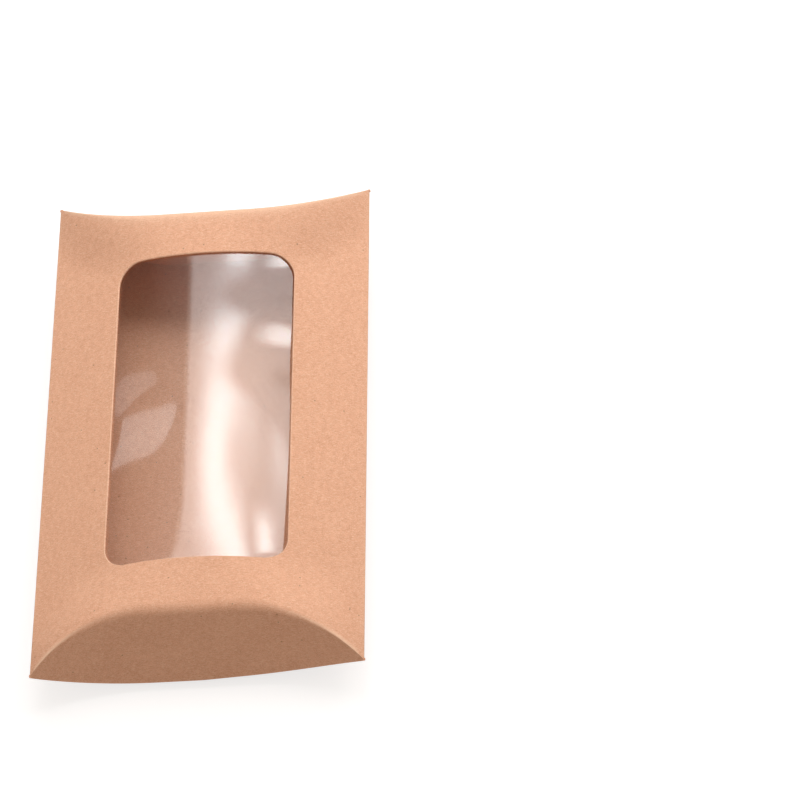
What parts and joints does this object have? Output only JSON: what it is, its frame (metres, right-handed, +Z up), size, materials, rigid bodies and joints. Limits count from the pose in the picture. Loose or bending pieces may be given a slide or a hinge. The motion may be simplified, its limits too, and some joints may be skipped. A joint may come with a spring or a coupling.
{
  "type": "pillow box",
  "caption": "Kraft card pillow box with a clear film window, a glued side seam and curved end flaps that fold over each other to close it.",
  "frame": {"origin": "under the middle of the back panel, on the surface that the box lies on", "axes": "+X across the box to the right of the window, +Y along the box, +Z up out of the window"},
  "size_m": [0.0746, 0.1246, 0.022],
  "materials": {
    "kraft_card": "matte",
    "clear_film": "gloss",
    "clear_glue": "satin"
  },
  "bodies": {
    "shell": {"front_panel": "kraft_card", "back_panel": "kraft_card", "left_fold": "kraft_card", "right_fold": "kraft_card", "seam_tab": "kraft_card", "seam_glue": "clear_glue", "window_film": "clear_film", "window_glue": "clear_glue"},
    "lower_outer": {"lower_outer_flap": "kraft_card"},
    "lower_inner": {"lower_inner_flap": "kraft_card"},
    "upper_outer": {"upper_outer_flap": "kraft_card"},
    "upper_inner": {"upper_inner_flap": "kraft_card"}
  },
  "joints": [
    {"name": "lower_outer_crease", "type": "hinge", "parent": "shell", "child": "lower_outer", "pos_m": [0, -0.0521, 0.022], "axis": [-1, 0, 0], "range_deg": [0, 85]},
    {"name": "lower_inner_crease", "type": "hinge", "parent": "shell", "child": "lower_inner", "pos_m": [0, -0.0521, 0], "axis": [1, 0, 0], "range_deg": [0, 58]},
    {"name": "upper_outer_crease", "type": "hinge", "parent": "shell", "child": "upper_outer", "pos_m": [0, 0.0521, 0.022], "axis": [1, 0, 0], "range_deg": [0, 85]},
    {"name": "upper_inner_crease", "type": "hinge", "parent": "shell", "child": "upper_inner", "pos_m": [0, 0.0521, 0], "axis": [-1, 0, 0], "range_deg": [0, 58]}
  ],
  "couplings": [
    {"joint": "lower_inner_crease", "follows": "lower_outer_crease", "ratio": 0.68},
    {"joint": "upper_inner_crease", "follows": "upper_outer_crease", "ratio": 0.68}
  ]
}
